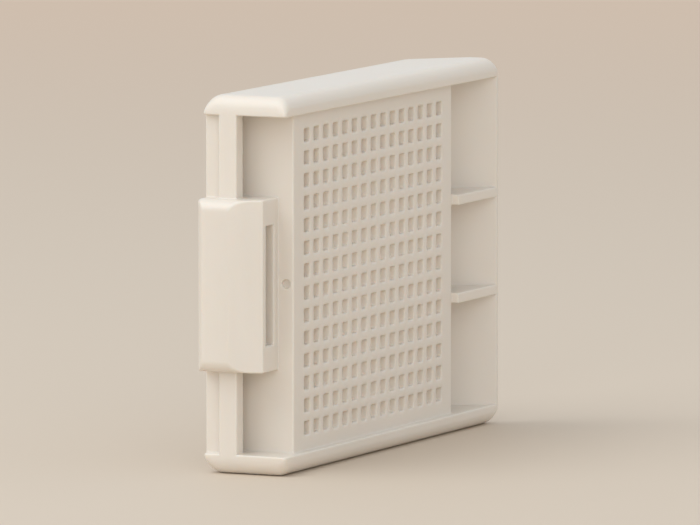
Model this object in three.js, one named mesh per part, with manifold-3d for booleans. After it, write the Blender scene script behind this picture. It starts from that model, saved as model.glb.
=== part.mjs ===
// Tissue cassette, base half: one injection-moulded piece of white acetal, in millimetres.
//
// The tray is drawn lying flat: X across its width, Y along its length with the writing panel
// at +Y, Z up out of its open side. It is then stood on one long side, with the latch end
// towards -Y, the open side towards -X and the perforated floor towards +X.
import * as THREE from "three";
import { mergeVertices } from "three/addons/utils/BufferGeometryUtils.js";
import Module from "manifold-3d";

// Overall sizes
const LENGTH = 40.0; // face of the latch block to the foot of the writing panel
const WIDTH = 28.5;
const HEIGHT = 6.9; // foot of the side walls to the rim, one pitch in a stack

// Outer edges
const RIM_RADIUS = 1.3; // long edges on the open side
const FOOT_RADIUS = 1.1; // long edges on the floor side
const CORNER_RADIUS = 1.0; // upright corners
const ARC_FACETS = 10; // facets of each arc

// Walls and floor of the specimen well
const SIDE_WALL = 1.5;
const BACK_WALL = 1.0;
const FRONT_WALL = 0.9;
const FLOOR = 1.1;
const FLOOR_LIFT = 0.6; // underside of the floor above the foot of the side walls
const WELL_RADIUS = 1.0;

// Square perforations of the floor
const HOLE = 1.0;
const HOLE_BAR = 0.7; // bar between two holes
const HOLE_MARGIN = 0.8; // least plain floor between the outer holes and the walls

// Back rim: a ledge with a band hanging from it, and the well's end wall set in behind the band
const RIM_BAND = 2.8;
const RIM_STEP_HEIGHT = 1.3; // step along the top of the band
const RIM_STEP = 0.5;
const BACK_RECESS = 2.6; // the end wall behind the face of the band
const BAND_WALL = 1.2;
const LEDGE = 1.2;

// Mark of the injection gate in the end wall, under the latch block
const GATE_RADIUS = 0.35;
const GATE_DEPTH = 0.3;
const GATE_HEIGHT = 0.65; // centre above the underside of the floor

// Latch block that takes the lid's catch
const LATCH_WIDTH = 13.0;
const LATCH_REACH = 1.3; // proud of the back rim
const LATCH_HEIGHT = 5.0; // down from the rim
const LATCH_RADIUS = 0.9; // upright shoulders
const LATCH_CHAMFER = 0.5; // along its top edge
const LATCH_RAMP_HEIGHT = 2.3; // lower part of its face, leaning back towards the floor
const LATCH_RAMP = 1.3; // how far the ramp leans back
const LATCH_SLOT_WIDTH = 9.0;
const LATCH_SLOT = 1.4;
const LATCH_FACE = 1.8; // wall in front of the slot

// Slanted writing panel, hollow behind, on two ribs
const PANEL_DEGREES = 45;
const PANEL_FOOT = 1.2; // upright edge under the slant
const PANEL = 1.2;
const RIB = 0.8;
const RIB_CLEARANCE = 0.3; // from a rib to the lid slot beside it

// Two slots behind the panel that take the lid's tabs
const LID_SLOT_WIDTH = 5.0;
const LID_SLOT = 1.0;
const LID_SLOT_OFFSET = 7.0; // slot centre from the middle
const LID_LAND = 0.9; // flat between the slots and the slant

const PAST = 1.0; // how far a cut runs past the surface that it opens

// Places along the length, worked out from the sizes
const halfWidth = WIDTH / 2;
const inner = halfWidth - SIDE_WALL;
const back = -LENGTH / 2;
const front = LENGTH / 2;
const backRim = back + LATCH_REACH;
const slope = Math.tan(THREE.MathUtils.degToRad(PANEL_DEGREES));
const panelTop = front - (HEIGHT - PANEL_FOOT) / slope;
const lidSlotEnd = panelTop - LID_LAND;
const lidSlotStart = lidSlotEnd - LID_SLOT;
const wellFront = lidSlotStart - FRONT_WALL;
const recessFace = backRim + BACK_RECESS;
const wellBack = recessFace + BACK_WALL;
const floorTop = FLOOR_LIFT + FLOOR;
const bandFoot = HEIGHT - RIM_BAND;
const latchFoot = HEIGHT - LATCH_HEIGHT;
const ribOffset = LID_SLOT_OFFSET - LID_SLOT_WIDTH / 2 - RIB_CLEARANCE - RIB / 2;

const wasm = await Module();
wasm.setup();

// A closed three.js geometry as a solid that can be joined and cut.
function solid(geometry) {
  geometry.deleteAttribute("normal");
  geometry.deleteAttribute("uv");
  const merged = mergeVertices(geometry, 1e-4);
  return new wasm.Manifold(
    new wasm.Mesh({
      numProp: 3,
      vertProperties: new Float32Array(merged.attributes.position.array),
      triVerts: new Uint32Array(merged.index.array),
    }),
  );
}

function box(x0, x1, y0, y1, z0, z1) {
  const geometry = new THREE.BoxGeometry(x1 - x0, y1 - y0, z1 - z0);
  return solid(geometry.translate((x0 + x1) / 2, (y0 + y1) / 2, (z0 + z1) / 2));
}

function extrude(shape, depth) {
  return new THREE.ExtrudeGeometry(shape, {
    depth,
    bevelEnabled: false,
    curveSegments: ARC_FACETS / 2, // an arc gets two facets for each segment
  });
}

// A plan in X and Y, standing from z0 to z1.
function upright(shape, z0, z1) {
  return solid(extrude(shape, z1 - z0).translate(0, 0, z0));
}

// A section in X and Z, running from y0 to y1.
function lengthwise(shape, y0, y1) {
  return solid(extrude(shape, y1 - y0).rotateX(Math.PI / 2).translate(0, y1, 0));
}

// A side view in Y and Z, running from x0 to x1.
function crosswise(shape, x0, x1) {
  const turn = new THREE.Matrix4().makeBasis(
    new THREE.Vector3(0, 1, 0),
    new THREE.Vector3(0, 0, 1),
    new THREE.Vector3(1, 0, 0),
  );
  return solid(extrude(shape, x1 - x0).applyMatrix4(turn).translate(x0, 0, 0));
}

// A rectangle from (u0, v0) to (u1, v1) with one radius on its low edge and one on its high edge.
function roundedRectangle(u0, u1, v0, v1, lowRadius, highRadius) {
  const quarter = Math.PI / 2;
  return new THREE.Shape()
    .absarc(u1 - lowRadius, v0 + lowRadius, lowRadius, -quarter, 0)
    .absarc(u1 - highRadius, v1 - highRadius, highRadius, 0, quarter)
    .absarc(u0 + highRadius, v1 - highRadius, highRadius, quarter, 2 * quarter)
    .absarc(u0 + lowRadius, v0 + lowRadius, lowRadius, 2 * quarter, 3 * quarter)
    .closePath();
}

function polygon(...points) {
  return new THREE.Shape(points.map(([u, v]) => new THREE.Vector2(u, v)));
}

// The outside before anything is cut: long edges and upright corners rounded.
function outerBlock() {
  const section = roundedRectangle(-halfWidth, halfWidth, 0, HEIGHT, FOOT_RADIUS, RIM_RADIUS);
  const plan = roundedRectangle(
    -halfWidth, halfWidth, backRim, front, CORNER_RADIUS, CORNER_RADIUS,
  );
  return lengthwise(section, backRim, front).intersect(upright(plan, 0, HEIGHT));
}

// The open well that holds the specimen.
function well() {
  const plan = roundedRectangle(-inner, inner, wellBack, wellFront, WELL_RADIUS, WELL_RADIUS);
  return upright(plan, floorTop, HEIGHT + PAST);
}

// The shallow space under the floor, between the side walls, open at the latch end, where it
// runs up in front of the end wall and then behind the band to the ledge.
function underside() {
  return box(-inner, inner, backRim - PAST, lidSlotStart, -PAST, FLOOR_LIFT)
    .add(box(-inner, inner, backRim - PAST, recessFace, -PAST, bandFoot))
    .add(box(-inner, inner, backRim + BAND_WALL, recessFace, 0, HEIGHT - LEDGE));
}

// The step along the top of the back rim, between the side walls.
function rimStep() {
  return box(-inner, inner, backRim - PAST, backRim + RIM_STEP, HEIGHT - RIM_STEP_HEIGHT,
    HEIGHT + PAST);
}

function gateMark() {
  const middle = FLOOR_LIFT + GATE_HEIGHT;
  const mark = new THREE.Shape().absarc(0, middle, GATE_RADIUS, 0, 2 * Math.PI);
  return lengthwise(mark, recessFace - PAST, recessFace + GATE_DEPTH);
}

// Evenly spaced places of the holes along a span, kept clear of its ends.
function holePlaces(from, to) {
  const pitch = HOLE + HOLE_BAR;
  const count = Math.floor((to - from - 2 * HOLE_MARGIN + HOLE_BAR) / pitch);
  const first = (from + to - (count - 1) * pitch) / 2;
  return Array.from({ length: count }, (_, i) => first + i * pitch);
}

function floorHoles() {
  const holes = holePlaces(-inner, inner).flatMap((x) =>
    holePlaces(wellBack, wellFront).map((y) =>
      box(x - HOLE / 2, x + HOLE / 2, y - HOLE / 2, y + HOLE / 2, -PAST, floorTop + PAST / 2),
    ),
  );
  return holes.reduce((all, hole) => all.add(hole));
}

// Everything above and in front of the slanted face.
function slant() {
  const reach = PAST * slope;
  return crosswise(
    polygon(
      [panelTop - PAST, HEIGHT + reach],
      [front + PAST, PANEL_FOOT - reach],
      [front + PAST, HEIGHT + reach],
    ),
    -halfWidth - PAST,
    halfWidth + PAST,
  );
}

// The hollow behind the panel, open underneath, less the ribs that carry the panel.
function panelHollow() {
  const drop = PANEL / Math.cos(Math.atan(slope)); // panel thickness measured upright
  const top = HEIGHT - PANEL;
  const topEnd = panelTop + (PANEL - drop) / slope;
  const low = front + (PANEL_FOOT - drop) / slope;
  const space = crosswise(
    polygon(
      [lidSlotStart, -PAST],
      [low + PAST / slope, -PAST],
      [topEnd, top],
      [lidSlotStart, top],
    ),
    -inner,
    inner,
  );
  return [-ribOffset, ribOffset].reduce(
    (hollow, x) =>
      hollow.subtract(box(x - RIB / 2, x + RIB / 2, lidSlotStart, front, 0, HEIGHT)),
    space,
  );
}

function lidSlots() {
  const slot = (x) =>
    box(x - LID_SLOT_WIDTH / 2, x + LID_SLOT_WIDTH / 2, lidSlotStart, lidSlotEnd,
      bandFoot, HEIGHT + PAST);
  return slot(-LID_SLOT_OFFSET).add(slot(LID_SLOT_OFFSET));
}

// The block on the back rim: rounded shoulders, a chamfered top edge and a ramp down its face.
function latchBlock() {
  const half = LATCH_WIDTH / 2;
  const plan = new THREE.Shape()
    .moveTo(half, wellBack)
    .lineTo(-half, wellBack)
    .absarc(-half + LATCH_RADIUS, back + LATCH_RADIUS, LATCH_RADIUS, Math.PI, 1.5 * Math.PI)
    .absarc(half - LATCH_RADIUS, back + LATCH_RADIUS, LATCH_RADIUS, 1.5 * Math.PI, 2 * Math.PI)
    .closePath();
  const side = polygon(
    [wellBack, latchFoot],
    [wellBack, HEIGHT],
    [back + LATCH_CHAMFER, HEIGHT],
    [back, HEIGHT - LATCH_CHAMFER],
    [back, latchFoot + LATCH_RAMP_HEIGHT],
    [back + LATCH_RAMP, latchFoot],
  );
  return upright(plan, latchFoot, HEIGHT).intersect(crosswise(side, -half, half));
}

function latchSlot() {
  const half = LATCH_SLOT_WIDTH / 2;
  const start = back + LATCH_FACE;
  return box(-half, half, start, start + LATCH_SLOT, latchFoot - PAST, HEIGHT + PAST);
}

function cassetteBase() {
  return outerBlock()
    .subtract(rimStep())
    .subtract(underside())
    .subtract(gateMark())
    .add(latchBlock())
    .subtract(latchSlot())
    .subtract(well())
    .subtract(floorHoles())
    .subtract(slant())
    .subtract(panelHollow())
    .subtract(lidSlots());
}

function flatShaded(body) {
  const { vertProperties, triVerts } = body.getMesh();
  const geometry = new THREE.BufferGeometry()
    .setAttribute("position", new THREE.BufferAttribute(vertProperties, 3))
    .setIndex(new THREE.BufferAttribute(triVerts, 1))
    .toNonIndexed();
  geometry.computeVertexNormals();
  return geometry;
}

const acetal = new THREE.MeshStandardMaterial({
  color: 0xece7df,
  roughness: 0.5,
  metalness: 0,
});

const base = new THREE.Mesh(flatShaded(cassetteBase()), acetal);
base.name = "cassette_base";
base.rotation.y = -Math.PI / 2; // open side towards -X
base.position.set(HEIGHT / 2, 0, halfWidth); // standing on a long side, centred on the origin

const cassette = new THREE.Group();
cassette.add(base);

export default cassette;
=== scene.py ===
import math

import bmesh
import bpy
from mathutils import Matrix, Vector


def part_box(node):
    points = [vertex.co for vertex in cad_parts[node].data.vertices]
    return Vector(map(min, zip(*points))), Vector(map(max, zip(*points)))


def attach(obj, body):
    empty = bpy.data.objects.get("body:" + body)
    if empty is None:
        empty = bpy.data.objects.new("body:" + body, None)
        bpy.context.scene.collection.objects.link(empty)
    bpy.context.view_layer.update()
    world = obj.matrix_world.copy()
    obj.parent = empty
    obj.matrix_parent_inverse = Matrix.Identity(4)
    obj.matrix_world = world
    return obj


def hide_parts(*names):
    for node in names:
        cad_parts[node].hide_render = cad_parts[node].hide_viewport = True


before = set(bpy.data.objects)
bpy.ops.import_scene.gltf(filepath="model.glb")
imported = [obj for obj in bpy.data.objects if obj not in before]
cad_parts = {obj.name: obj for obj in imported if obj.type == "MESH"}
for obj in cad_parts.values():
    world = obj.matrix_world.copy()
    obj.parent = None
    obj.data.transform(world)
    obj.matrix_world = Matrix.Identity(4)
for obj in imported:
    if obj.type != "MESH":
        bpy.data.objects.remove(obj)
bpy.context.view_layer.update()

# Tissue cassette, base half: one injection-moulded piece of satin white acetal.
#
# The tray is drawn lying flat, in millimetres: X across its width, Y along its length with the
# writing panel at +Y, Z up out of its open side. stand_up() then turns it onto one long side.

MM = 0.001
low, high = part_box("cassette_base")
HEIGHT, LENGTH, WIDTH = (high - low) / MM

# Outer edges
RIM_RADIUS = 1.3
FOOT_RADIUS = 1.1
CORNER_RADIUS = 1.0
CORNER_SPARE = 0.05  # what an upright corner's radius keeps above the radii that draw it in
END_RADIUS = 0.3  # rim and foot of the two ends
SOFT_EDGE = 0.12  # every other edge of the moulding
SOFT_STEPS = 3  # facets across a soft edge
SOFT_ABOVE = 32  # degrees: edges that turn less are left as they are
ROUND_STEPS = 8  # facets of a quarter round

# Walls and floor of the specimen well
SIDE_WALL = 1.5
BACK_WALL = 1.0
FRONT_WALL = 0.9
FLOOR = 1.1
FLOOR_LIFT = 0.6
WELL_RADIUS = 1.0
WELL_FILLET = 0.3  # round where the well's walls meet its floor

# Square perforations
HOLE = 1.0
HOLE_BAR = 0.7
HOLE_MARGIN = 0.8
HOLE_CORNER = 0.18
HOLE_LIP = 0.09

# Back rim: a ledge, the band that hangs from it, and the end wall set in behind the band
RIM_BAND = 2.8
RIM_STEP_HEIGHT = 1.3
RIM_STEP = 0.5
BACK_RECESS = 2.6
BAND_WALL = 1.2
LEDGE = 1.2

# Mark of the injection gate in the end wall
GATE_RADIUS = 0.35
GATE_DEPTH = 0.3
GATE_HEIGHT = 0.65
GATE_LIP = 0.08

# Latch block
LATCH_WIDTH = 13.0
LATCH_REACH = 1.3
LATCH_HEIGHT = 5.0
LATCH_RADIUS = 0.9
LATCH_STEPS = 5  # facets of a shoulder, so that none ends where the chamfer starts
LATCH_CHAMFER = 0.5
LATCH_RAMP_HEIGHT = 2.3
LATCH_RAMP = 1.3
LATCH_SLOT_WIDTH = 9.0
LATCH_SLOT = 1.4
LATCH_FACE = 1.8

# Slanted writing panel and the slots behind it
PANEL_DEGREES = 45
PANEL_FOOT = 1.2
PANEL = 1.2
RIB = 0.8
RIB_CLEARANCE = 0.3
LID_SLOT_WIDTH = 5.0
LID_SLOT = 1.0
LID_SLOT_OFFSET = 7.0
LID_LAND = 0.9

# Witness line of the mould's parting along the outside of the two long sides
PARTING_HEIGHT = 5.45  # above the foot of the side walls, just below the round of the rim
PARTING_WIDTH = 0.14
PARTING_DEPTH = 0.03
OUTER_SKIN = 0.02  # depth below the outside that still counts as outside

PAST = 1.0  # how far a cut runs past the surface that it opens
MERGE = 0.001  # points nearer than this are one point
FLAT_WITHIN = 0.5  # degrees: faces that differ by less are one face

# Shading
SHARP_ABOVE = 50  # degrees: edges that turn more stay sharp
ON_PANEL = 0.999  # least agreement of a face's direction with the slant's
PANEL_SKIN = 0.1  # depth below the slant that still counts as its face

# Light in the acetal
ACETAL_IOR = 1.48
SOAK = 0.25  # share of the light that soaks in
SOAK_DEPTH = 0.0008
SOAK_SPREAD = (1.0, 0.75, 0.55)  # red soaks furthest

half_width = WIDTH / 2
inner = half_width - SIDE_WALL
back = -LENGTH / 2
front = LENGTH / 2
back_rim = back + LATCH_REACH
slope = math.tan(math.radians(PANEL_DEGREES))
panel_top = front - (HEIGHT - PANEL_FOOT) / slope
lid_slot_end = panel_top - LID_LAND
lid_slot_start = lid_slot_end - LID_SLOT
well_front = lid_slot_start - FRONT_WALL
recess_face = back_rim + BACK_RECESS
well_back = recess_face + BACK_WALL
floor_top = FLOOR_LIFT + FLOOR
band_foot = HEIGHT - RIM_BAND
latch_foot = HEIGHT - LATCH_HEIGHT
rib_offset = LID_SLOT_OFFSET - LID_SLOT_WIDTH / 2 - RIB_CLEARANCE - RIB / 2
pitch = HOLE + HOLE_BAR


# ---- Solids -------------------------------------------------------------------------------


def new_object(name, bm):
    """An object of a mesh that is still lying flat, in millimetres."""
    mesh = bpy.data.meshes.new(name)
    bm.to_mesh(mesh)
    bm.free()
    thing = bpy.data.objects.new(name, mesh)
    bpy.context.scene.collection.objects.link(thing)
    return thing


def loft(levels):
    """A closed solid through outlines that all have the same number of points."""
    bm = bmesh.new()
    rings = [[bm.verts.new(point) for point in level] for level in levels]
    for lower, upper in zip(rings, rings[1:]):
        for i in range(len(lower)):
            j = (i + 1) % len(lower)
            bm.faces.new((lower[i], lower[j], upper[j], upper[i]))
    bm.faces.new(list(reversed(rings[0])))
    bm.faces.new(rings[-1])
    bmesh.ops.recalc_face_normals(bm, faces=bm.faces)
    return new_object("solid", bm)


def box(x0, x1, y0, y1, z0, z1):
    return upright([(x0, y0), (x1, y0), (x1, y1), (x0, y1)], z0, z1)


def upright(plan, z0, z1):
    """A plan in X and Y, standing from z0 to z1."""
    return loft([[(x, y, z) for x, y in plan] for z in (z0, z1)])


def crosswise(side, x0, x1):
    """A side view in Y and Z, running from x0 to x1."""
    return loft([[(x, y, z) for y, z in side] for x in (x0, x1)])


def arc(centre, radii, start, end, steps=ROUND_STEPS):
    """Points of an elliptical arc, with its angles in degrees."""
    for i in range(steps + 1):
        angle = math.radians(start + (end - start) * i / steps)
        yield centre[0] + radii[0] * math.cos(angle), centre[1] + radii[1] * math.sin(angle)


def rounded_plan(x0, x1, y0, y1, corner):
    """A rectangle with elliptical corners."""
    rx, ry = corner
    return [
        *arc((x1 - rx, y0 + ry), corner, -90, 0),
        *arc((x1 - rx, y1 - ry), corner, 0, 90),
        *arc((x0 + rx, y1 - ry), corner, 90, 180),
        *arc((x0 + rx, y0 + ry), corner, 180, 270),
    ]


def circle(centre, radius):
    steps = 4 * ROUND_STEPS
    turns = [2 * math.pi * i / steps for i in range(steps)]
    return [(centre[0] + radius * math.cos(t), centre[1] + radius * math.sin(t)) for t in turns]


def inset(radius, depth):
    """How far a round of this radius has drawn in, at a depth from the face that it ends on."""
    rest = max(radius - depth, 0)
    return radius - math.sqrt(radius * radius - rest * rest)


def rounded_block(x0, x1, y0, y1, z0, z1, corner, foot=(0, 0), rim=(0, 0)):
    """A block with round upright corners. foot and rim are the radii of its low and high edges:
    first those of the long edges, then those of the ends."""
    turns = [math.radians(90 * i / ROUND_STEPS) for i in range(ROUND_STEPS + 1)]
    rises = [1 - math.sin(t) for t in turns]
    foot_levels = [z0 + foot[0] * rise for rise in reversed(rises)] if foot[0] else [z0]
    rim_levels = [z1 - rim[0] * rise for rise in rises] if rim[0] else [z1]
    levels = [(z, foot, z0) for z in foot_levels] + [(z, rim, z1) for z in rim_levels]
    outlines = []
    for z, (across, along), face in levels:
        dx, dy = inset(across, abs(z - face)), inset(along, abs(z - face))
        radii = (corner[0] - dx, corner[1] - dy)
        plan = rounded_plan(x0 + dx, x1 - dx, y0 + dy, y1 - dy, radii)
        outlines.append([(x, y, z) for x, y in plan])
    return loft(outlines)


def bake(thing):
    """Turns an object's modifiers into its own mesh."""
    depsgraph = bpy.context.evaluated_depsgraph_get()
    mesh = bpy.data.meshes.new_from_object(thing.evaluated_get(depsgraph))
    thing.modifiers.clear()
    thing.data = mesh
    return thing


def combine(body, operation, *tools):
    for tool in tools:
        modifier = body.modifiers.new("combine", "BOOLEAN")
        modifier.solver = "EXACT"
        modifier.operation = operation
        modifier.object = tool
        bake(body)
        bpy.data.objects.remove(tool)
    return body


def cut(body, *tools):
    return combine(body, "DIFFERENCE", *tools)


# ---- The tray -----------------------------------------------------------------------------


def outer_block():
    corner = (max(CORNER_RADIUS, RIM_RADIUS) + CORNER_SPARE, CORNER_RADIUS)
    return rounded_block(
        -half_width, half_width, back_rim, front, 0, HEIGHT, corner,
        foot=(FOOT_RADIUS, END_RADIUS), rim=(RIM_RADIUS, END_RADIUS),
    )


def rim_step():
    return box(-inner, inner, back_rim - PAST, back_rim + RIM_STEP,
               HEIGHT - RIM_STEP_HEIGHT, HEIGHT + PAST)


def underside():
    """The shallow space under the floor, the recess below the band and the gap behind it."""
    return (
        box(-inner, inner, back_rim - PAST, lid_slot_start, -PAST, FLOOR_LIFT),
        box(-inner, inner, back_rim - PAST, recess_face, -PAST, band_foot),
        box(-inner, inner, back_rim + BAND_WALL, recess_face, 0, HEIGHT - LEDGE),
    )


def latch_block():
    half = LATCH_WIDTH / 2
    radii = (LATCH_RADIUS, LATCH_RADIUS)
    centre = half - LATCH_RADIUS, back + LATCH_RADIUS
    plan = [
        (half, well_back),
        (-half, well_back),
        *arc((-centre[0], centre[1]), radii, 180, 270, LATCH_STEPS),
        *arc(centre, radii, 270, 360, LATCH_STEPS),
    ]
    side = [
        (well_back - PAST / 2, latch_foot),
        (well_back - PAST / 2, HEIGHT),
        (back + LATCH_CHAMFER, HEIGHT),
        (back, HEIGHT - LATCH_CHAMFER),
        (back, latch_foot + LATCH_RAMP_HEIGHT),
        (back + LATCH_RAMP, latch_foot),
    ]
    block = upright(plan, latch_foot - PAST, HEIGHT + PAST)
    return combine(block, "INTERSECT", crosswise(side, -half - PAST, half + PAST))


def latch_slot():
    half = LATCH_SLOT_WIDTH / 2
    start = back + LATCH_FACE
    return box(-half, half, start, start + LATCH_SLOT, latch_foot - PAST, HEIGHT + PAST)


def well():
    return rounded_block(
        -inner, inner, well_back, well_front, floor_top, HEIGHT + PAST,
        (WELL_RADIUS, WELL_RADIUS), foot=(WELL_FILLET, WELL_FILLET),
    )


def gate_mark():
    """A round mark in the end wall, under the latch block, with a soft lip and bottom edge."""
    centre = (0, FLOOR_LIFT + GATE_HEIGHT)
    bottom = recess_face + GATE_DEPTH
    profile = [
        (recess_face - GATE_DEPTH, GATE_RADIUS + GATE_LIP),
        (recess_face, GATE_RADIUS + GATE_LIP),
        *arc((recess_face + GATE_LIP, GATE_RADIUS + GATE_LIP), (GATE_LIP, GATE_LIP), 180, 270),
        *arc((bottom - GATE_LIP, GATE_RADIUS - GATE_LIP), (GATE_LIP, GATE_LIP), 90, 0),
    ]
    return loft([[(x, y, z) for x, z in circle(centre, radius)] for y, radius in profile])


def slant():
    """Everything above and in front of the writing panel."""
    reach = PAST * slope
    side = [
        (panel_top - PAST, HEIGHT + reach),
        (front + PAST, PANEL_FOOT - reach),
        (front + PAST, HEIGHT + reach),
    ]
    return crosswise(side, -half_width - PAST, half_width + PAST)


def panel_hollow():
    """The hollow behind the panel, in three bays between the ribs."""
    drop = PANEL / math.cos(math.atan(slope))
    top = HEIGHT - PANEL
    side = [
        (lid_slot_start, -PAST),
        (front + (PANEL_FOOT - drop + PAST) / slope, -PAST),
        (panel_top + (PANEL - drop) / slope, top),
        (lid_slot_start, top),
    ]
    ribs = (-rib_offset, rib_offset)
    starts = (-inner, *(x + RIB / 2 for x in ribs))
    ends = (*(x - RIB / 2 for x in ribs), inner)
    return [crosswise(side, x0, x1) for x0, x1 in zip(starts, ends)]


def lid_slots():
    return [
        box(x - LID_SLOT_WIDTH / 2, x + LID_SLOT_WIDTH / 2, lid_slot_start, lid_slot_end,
            band_foot, HEIGHT + PAST)
        for x in (-LID_SLOT_OFFSET, LID_SLOT_OFFSET)
    ]


def soften(body):
    """Merges the flat faces that the cuts split, then rounds every edge that is left."""
    bm = bmesh.new()
    bm.from_mesh(body.data)
    bmesh.ops.remove_doubles(bm, verts=bm.verts, dist=MERGE)
    bmesh.ops.dissolve_limit(
        bm, angle_limit=math.radians(FLAT_WITHIN), verts=bm.verts, edges=bm.edges
    )
    bm.to_mesh(body.data)
    bm.free()
    bevel = body.modifiers.new("soft edges", "BEVEL")
    bevel.width = SOFT_EDGE
    bevel.segments = SOFT_STEPS
    bevel.limit_method = "ANGLE"
    bevel.angle_limit = math.radians(SOFT_ABOVE)
    bevel.use_clamp_overlap = False
    return bake(body)


def tray():
    body = cut(outer_block(), rim_step(), *underside())
    combine(body, "UNION", latch_block())
    cut(body, latch_slot(), well(), slant(), *panel_hollow(), *lid_slots())
    return cut(soften(body), gate_mark())


# ---- The perforated floor -----------------------------------------------------------------


def hole_count(start, end):
    return math.floor((end - start - 2 * HOLE_MARGIN + HOLE_BAR) / pitch)


columns = hole_count(-inner, inner)
rows = hole_count(well_back, well_front)
sheet_middle = (well_back + well_front) / 2
sheet_x = columns * pitch / 2
sheet_y = rows * pitch / 2


def tile():
    """One pitch of floor around one square hole with round corners and soft lips. Its faces form
    five rings: floor top, upper lip, wall, lower lip and underside."""

    def ring(half, corner, side, z):
        """Three points a corner: where it starts, its middle, and where it ends."""
        reach = half - corner * (1 - math.sqrt(0.5))
        points = []
        for turn in range(4):
            for u, v in ((half, side), (reach, reach), (side, half)):
                for _ in range(turn):
                    u, v = -v, u
                points.append((u, v, z))
        return points

    side = HOLE / 2 - HOLE_CORNER
    bm = bmesh.new()
    profile = [
        (pitch / 2, 0, floor_top),
        (HOLE / 2 + HOLE_LIP, HOLE_CORNER, floor_top),
        (HOLE / 2, HOLE_CORNER, floor_top - HOLE_LIP),
        (HOLE / 2, HOLE_CORNER, FLOOR_LIFT + HOLE_LIP),
        (HOLE / 2 + HOLE_LIP, HOLE_CORNER, FLOOR_LIFT),
        (pitch / 2, 0, FLOOR_LIFT),
    ]
    rings = [[bm.verts.new(p) for p in ring(half, corner, side, z)] for half, corner, z in profile]
    for upper, lower in zip(rings, rings[1:]):
        for i in range(len(upper)):
            j = (i + 1) % len(upper)
            bm.faces.new((upper[i], upper[j], lower[j], lower[i]))
    return new_object("tile", bm)


def perforation_tree():
    """Geometry nodes that lay a tile out in columns and rows."""
    tree = bpy.data.node_groups.new("perforations", "GeometryNodeTree")
    face = tree.interface
    face.new_socket("Tile", in_out="INPUT", socket_type="NodeSocketGeometry")
    for name in ("Columns", "Rows"):
        face.new_socket(name, in_out="INPUT", socket_type="NodeSocketInt")
    face.new_socket("Pitch", in_out="INPUT", socket_type="NodeSocketFloat")
    face.new_socket("Material", in_out="INPUT", socket_type="NodeSocketMaterial")
    face.new_socket("Sheet", in_out="OUTPUT", socket_type="NodeSocketGeometry")
    nodes, link = tree.nodes, tree.links.new
    given = nodes.new("NodeGroupInput")
    grid = nodes.new("GeometryNodeMeshGrid")
    link(given.outputs["Columns"], grid.inputs["Vertices X"])
    link(given.outputs["Rows"], grid.inputs["Vertices Y"])
    for count, size in (("Columns", "Size X"), ("Rows", "Size Y")):
        span = nodes.new("ShaderNodeMath")
        span.operation = "MULTIPLY_ADD"  # count * pitch - pitch
        less = nodes.new("ShaderNodeMath")
        less.operation = "MULTIPLY"
        less.inputs[1].default_value = -1
        link(given.outputs["Pitch"], less.inputs[0])
        link(given.outputs[count], span.inputs[0])
        link(given.outputs["Pitch"], span.inputs[1])
        link(less.outputs[0], span.inputs[2])
        link(span.outputs[0], grid.inputs[size])
    lay = nodes.new("GeometryNodeInstanceOnPoints")
    link(grid.outputs["Mesh"], lay.inputs["Points"])
    link(given.outputs["Tile"], lay.inputs["Instance"])
    real = nodes.new("GeometryNodeRealizeInstances")
    link(lay.outputs["Instances"], real.inputs["Geometry"])
    paint = nodes.new("GeometryNodeSetMaterial")
    link(real.outputs["Geometry"], paint.inputs["Geometry"])
    link(given.outputs["Material"], paint.inputs["Material"])
    out = nodes.new("NodeGroupOutput")
    link(paint.outputs["Geometry"], out.inputs["Sheet"])
    return tree


def perforated_sheet(material):
    sheet = tile()
    modifier = sheet.modifiers.new("perforations", "NODES")
    modifier.node_group = perforation_tree()
    values = {"Columns": columns, "Rows": rows, "Pitch": pitch, "Material": material}
    for socket in modifier.node_group.interface.items_tree:
        if socket.in_out == "INPUT" and socket.name in values:
            modifier[socket.identifier] = values[socket.name]
    bake(sheet)
    sheet.data.transform(Matrix.Translation((0, sheet_middle, 0)))
    return sheet


def sheet_opening():
    """The cut in the tray that the sheet fills, with a point wherever a tile has one."""
    side = HOLE / 2 - HOLE_CORNER

    def stops(count):
        middles = [(i - (count - 1) / 2) * pitch for i in range(count)]
        return [s for m in middles for s in (m - pitch / 2, m - side, m + side)]

    across, along = stops(columns), stops(rows)
    plan = [(x, -sheet_y) for x in across]
    plan += [(sheet_x, y) for y in along]
    plan += [(-x, sheet_y) for x in across]
    plan += [(-sheet_x, -y) for y in along]
    return upright([(x, y + sheet_middle) for x, y in plan], -PAST, floor_top + PAST)


def fit_sheet(body, sheet):
    """Cuts the tray's floor away, drops what the cut leaves within the sheet's outline and welds
    the sheet into it."""
    cut(body, sheet_opening())
    bm = bmesh.new()
    bm.from_mesh(body.data)
    reach = Vector((sheet_x + MERGE, sheet_y + MERGE))

    def within(vert):
        return abs(vert.co.x) < reach.x and abs(vert.co.y - sheet_middle) < reach.y

    walls = [face for face in bm.faces if all(within(vert) for vert in face.verts)]
    bmesh.ops.delete(bm, geom=walls, context="FACES")
    bm.from_mesh(sheet.data)
    bmesh.ops.remove_doubles(bm, verts=bm.verts, dist=MERGE)
    bmesh.ops.recalc_face_normals(bm, faces=bm.faces)
    bm.to_mesh(body.data)
    bm.free()
    bpy.data.objects.remove(sheet)


# ---- Finish -------------------------------------------------------------------------------


def srgb(red, green, blue):
    """A colour from 0 to 255 a channel, as linear numbers."""
    def linear(c):
        c /= 255
        return c / 12.92 if c <= 0.04045 else ((c + 0.055) / 1.055) ** 2.4
    return (linear(red), linear(green), linear(blue), 1)


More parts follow.
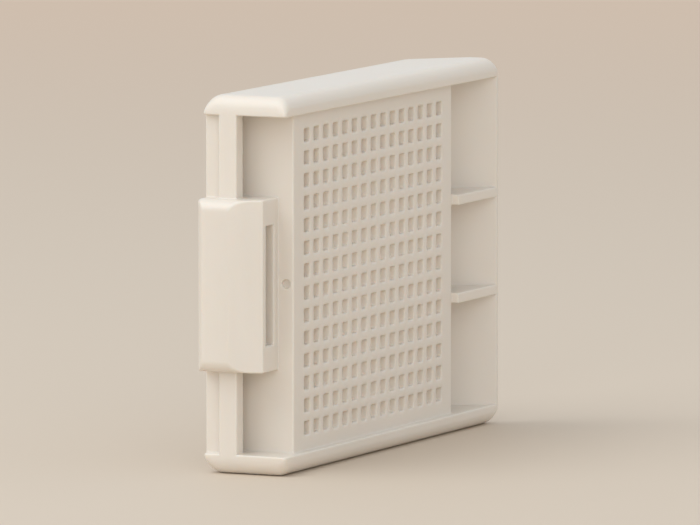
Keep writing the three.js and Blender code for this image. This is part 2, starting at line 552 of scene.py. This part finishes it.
def parting_line(group, place):
    """The normal of a smooth surface with a fine raised line along the two long sides."""
    nodes, link = group.nodes, group.links.new

    def step(operation, source, value):
        node = nodes.new("ShaderNodeMath")
        node.operation = operation
        link(source, node.inputs[0])
        node.inputs[1].default_value = value
        return node.outputs[0]

    axes = nodes.new("ShaderNodeSeparateXYZ")
    link(place.outputs["Object"], axes.inputs[0])
    off_line = step("SUBTRACT", axes.outputs["X"], (HEIGHT / 2 - PARTING_HEIGHT) * MM)
    profile = nodes.new("ShaderNodeMapRange")
    profile.interpolation_type = "SMOOTHSTEP"
    profile.inputs["From Min"].default_value = PARTING_WIDTH / 2 * MM
    profile.inputs["From Max"].default_value = 0
    link(step("ABSOLUTE", off_line, 0), profile.inputs["Value"])
    from_middle = step("ABSOLUTE", step("SUBTRACT", axes.outputs["Z"], half_width * MM), 0)
    outside = step("GREATER_THAN", from_middle, (half_width - OUTER_SKIN) * MM)
    line = nodes.new("ShaderNodeMath")
    line.operation = "MULTIPLY"
    link(profile.outputs["Result"], line.inputs[0])
    link(outside, line.inputs[1])
    bump = nodes.new("ShaderNodeBump")
    bump.inputs["Distance"].default_value = PARTING_DEPTH * MM
    link(line.outputs[0], bump.inputs["Height"])
    return bump.outputs["Normal"]


def moulded_grain():
    """A shared finish: fine surface grain, slow changes of gloss, faint clouding and the
    parting line."""
    group = bpy.data.node_groups.new("moulded grain", "ShaderNodeTree")
    face = group.interface
    for name, value in (
        ("Grain Size", 0.0002), ("Grain Depth", 0.00001), ("Roughness", 0.4),
        ("Gloss Spread", 0.05), ("Cloud Size", 0.01),
    ):
        socket = face.new_socket(name, in_out="INPUT", socket_type="NodeSocketFloat")
        socket.default_value = value
    for name, kind in (("Cloud", "Float"), ("Roughness", "Float"), ("Normal", "Vector")):
        face.new_socket(name, in_out="OUTPUT", socket_type=f"NodeSocket{kind}")
    nodes, link = group.nodes, group.links.new
    given = nodes.new("NodeGroupInput")
    place = nodes.new("ShaderNodeTexCoord")

    def noise(size, detail):
        count = nodes.new("ShaderNodeMath")
        count.operation = "DIVIDE"
        count.inputs[0].default_value = 1
        link(given.outputs[size], count.inputs[1])
        texture = nodes.new("ShaderNodeTexNoise")
        texture.inputs["Detail"].default_value = detail
        link(place.outputs["Object"], texture.inputs["Vector"])
        link(count.outputs[0], texture.inputs["Scale"])
        return texture.outputs["Fac"]

    grain, cloud = noise("Grain Size", 2), noise("Cloud Size", 3)
    bump = nodes.new("ShaderNodeBump")
    link(grain, bump.inputs["Height"])
    link(given.outputs["Grain Depth"], bump.inputs["Distance"])
    link(parting_line(group, place), bump.inputs["Normal"])
    centred = nodes.new("ShaderNodeMath")
    centred.operation = "SUBTRACT"
    centred.inputs[1].default_value = 0.5
    link(cloud, centred.inputs[0])
    rough = nodes.new("ShaderNodeMath")
    rough.operation = "MULTIPLY_ADD"
    link(centred.outputs[0], rough.inputs[0])
    link(given.outputs["Gloss Spread"], rough.inputs[1])
    link(given.outputs["Roughness"], rough.inputs[2])
    out = nodes.new("NodeGroupOutput")
    link(cloud, out.inputs["Cloud"])
    link(rough.outputs[0], out.inputs["Roughness"])
    link(bump.outputs["Normal"], out.inputs["Normal"])
    return group


def acetal(name, group, tones, **values):
    """White acetal: two near tones clouded together, light soaking a little way in."""
    material = bpy.data.materials.new(name)
    material.use_nodes = True
    nodes, link = material.node_tree.nodes, material.node_tree.links.new
    shader = nodes["Principled BSDF"]
    shader.inputs["Subsurface Weight"].default_value = SOAK
    shader.inputs["Subsurface Radius"].default_value = SOAK_SPREAD
    shader.inputs["Subsurface Scale"].default_value = SOAK_DEPTH
    shader.inputs["IOR"].default_value = ACETAL_IOR
    finish = nodes.new("ShaderNodeGroup")
    finish.node_tree = group
    for socket, value in values.items():
        finish.inputs[socket.replace("_", " ")].default_value = value
    colour = nodes.new("ShaderNodeMix")
    colour.data_type = "RGBA"
    colour.inputs[6].default_value, colour.inputs[7].default_value = tones
    link(finish.outputs["Cloud"], colour.inputs[0])
    link(colour.outputs[2], shader.inputs["Base Color"])
    link(finish.outputs["Roughness"], shader.inputs["Roughness"])
    link(finish.outputs["Normal"], shader.inputs["Normal"])
    return material


def shade(thing, writing):
    """Smooth shading over the soft edges, and the etched finish on the writing panel."""
    mesh = thing.data
    mesh.materials.append(writing)
    tilt = math.radians(PANEL_DEGREES)
    slanted = Vector((0, math.sin(tilt), math.cos(tilt)))
    for face in mesh.polygons:
        on_panel = face.normal.dot(slanted) > ON_PANEL and face.center.y > panel_top
        outside = (face.center - Vector((0, front, PANEL_FOOT))).dot(slanted) > -PANEL_SKIN
        face.material_index = 1 if on_panel and outside else 0
    mesh.shade_smooth()
    mesh.set_sharp_from_angle(angle=math.radians(SHARP_ABOVE))
    weighted = thing.modifiers.new("flat faces stay flat", "WEIGHTED_NORMAL")
    weighted.keep_sharp = True
    return bake(thing)


def stand_up(thing):
    """Onto one long side: the open side towards -X, the perforated floor towards +X."""
    turned = Matrix.Rotation(math.radians(-90), 4, "Y")
    placed = Matrix.Translation((HEIGHT / 2, 0, WIDTH / 2))
    thing.data.transform(Matrix.Scale(MM, 4) @ placed @ turned)


def cassette():
    grain = moulded_grain()
    satin = acetal(
        "satin acetal", grain, (srgb(232, 224, 213), srgb(226, 217, 205)),
        Grain_Size=0.00025, Grain_Depth=0.000004, Roughness=0.34, Gloss_Spread=0.10,
    )
    etched = acetal(
        "etched acetal", grain, (srgb(230, 222, 211), srgb(225, 216, 204)),
        Grain_Size=0.00012, Grain_Depth=0.00002, Roughness=0.62, Gloss_Spread=0.06,
    )
    body = tray()
    body.name = body.data.name = "moulded_tray"
    body.data.materials.clear()
    body.data.materials.append(satin)
    fit_sheet(body, perforated_sheet(satin))
    stand_up(shade(body, etched))
    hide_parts("cassette_base")
    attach(body, "root")


# ---- Studio -------------------------------------------------------------------------------

NEAR_FLOOR = srgb(213, 198, 180)
FAR_FLOOR = srgb(211, 191, 173)
FLOOR_REACH = 3  # half the side of the floor
FLOOR_GAP = 0.00002  # floor below the cassette's foot
FLOOR_ROUGHNESS = 0.7
FADE_START, FADE_END = 0.10, 0.60  # where the near floor turns into the far one
AMBIENT_COLOUR = (0.95, 0.975, 1.0, 1)
AMBIENT = 0.7
LAMP_COLOUR = (0.96, 0.985, 1.0)
ASPECT = 4 / 3
CLIP_RANGE = 10  # the view is kept from this part of the distance to this many times it


def studio_floor():
    bm = bmesh.new()
    bmesh.ops.create_grid(bm, x_segments=1, y_segments=1, size=FLOOR_REACH)
    floor = new_object("studio_floor", bm)
    floor.data.transform(Matrix.Translation((0, 0, low.z - FLOOR_GAP)))
    material = bpy.data.materials.new("pale floor")
    material.use_nodes = True
    nodes, link = material.node_tree.nodes, material.node_tree.links.new
    matt = nodes["Principled BSDF"]
    matt.inputs["Base Color"].default_value = NEAR_FLOOR
    matt.inputs["Roughness"].default_value = FLOOR_ROUGHNESS
    place = nodes.new("ShaderNodeTexCoord")
    reach = nodes.new("ShaderNodeVectorMath")
    reach.operation = "LENGTH"
    link(place.outputs["Object"], reach.inputs[0])
    fade = nodes.new("ShaderNodeMapRange")
    fade.interpolation_type = "SMOOTHSTEP"
    fade.inputs["From Min"].default_value = FADE_START
    fade.inputs["From Max"].default_value = FADE_END
    link(reach.outputs["Value"], fade.inputs["Value"])
    path = nodes.new("ShaderNodeLightPath")
    seen = nodes.new("ShaderNodeMath")
    seen.operation = "MULTIPLY"
    link(fade.outputs["Result"], seen.inputs[0])
    link(path.outputs["Is Camera Ray"], seen.inputs[1])
    glow = nodes.new("ShaderNodeEmission")
    glow.inputs["Color"].default_value = FAR_FLOOR
    mix = nodes.new("ShaderNodeMixShader")
    link(seen.outputs[0], mix.inputs[0])
    link(matt.outputs[0], mix.inputs[1])
    link(glow.outputs[0], mix.inputs[2])
    link(mix.outputs[0], nodes["Material Output"].inputs["Surface"])
    floor.data.materials.append(material)


def studio_world():
    world = bpy.data.worlds.new("studio")
    bpy.context.scene.world = world
    world.use_nodes = True
    nodes, link = world.node_tree.nodes, world.node_tree.links.new
    ambient = nodes["Background"]
    ambient.inputs["Color"].default_value = AMBIENT_COLOUR
    ambient.inputs["Strength"].default_value = AMBIENT
    backdrop = nodes.new("ShaderNodeBackground")
    backdrop.inputs["Color"].default_value = FAR_FLOOR
    path = nodes.new("ShaderNodeLightPath")
    mix = nodes.new("ShaderNodeMixShader")
    link(path.outputs["Is Camera Ray"], mix.inputs[0])
    link(ambient.outputs[0], mix.inputs[1])
    link(backdrop.outputs[0], mix.inputs[2])
    link(mix.outputs[0], nodes["World Output"].inputs["Surface"])


def softbox(name, direction, distance, size, power):
    """A square lamp that faces the middle of the cassette."""
    data = bpy.data.lights.new(name, "AREA")
    data.size = size
    data.energy = power
    data.color = LAMP_COLOUR
    lamp = bpy.data.objects.new(name, data)
    bpy.context.scene.collection.objects.link(lamp)
    centre = (low + high) / 2
    away = Vector(direction).normalized()
    lamp.location = centre + away * distance
    lamp.rotation_euler = (-away).to_track_quat("-Z", "Y").to_euler()


def camera(azimuth, elevation, distance, frame_height):
    """Looks at the middle of the cassette from a little above the surface that it stands on."""
    data = bpy.data.cameras.new("camera")
    eye = bpy.data.objects.new("camera", data)
    bpy.context.scene.collection.objects.link(eye)
    a, e = math.radians(azimuth), math.radians(elevation)
    away = Vector((math.sin(a) * math.cos(e), -math.cos(a) * math.cos(e), math.sin(e)))
    target = (low + high) / 2
    eye.location = target + away * distance
    eye.rotation_euler = (-away).to_track_quat("-Z", "Y").to_euler()
    data.lens = data.sensor_width * distance / (frame_height * ASPECT)
    data.clip_start = distance / CLIP_RANGE
    data.clip_end = distance * CLIP_RANGE
    bpy.context.scene.camera = eye


bpy.context.scene.view_settings.view_transform = "Standard"
camera(azimuth=25, elevation=6, distance=0.9, frame_height=0.040)
studio_world()
studio_floor()
softbox("key", (-0.4, -0.55, 1.0), 0.7, 0.6, 2.2)
softbox("fill", (0.5, -1.0, 0.3), 0.9, 0.7, 1.95)
cassette()
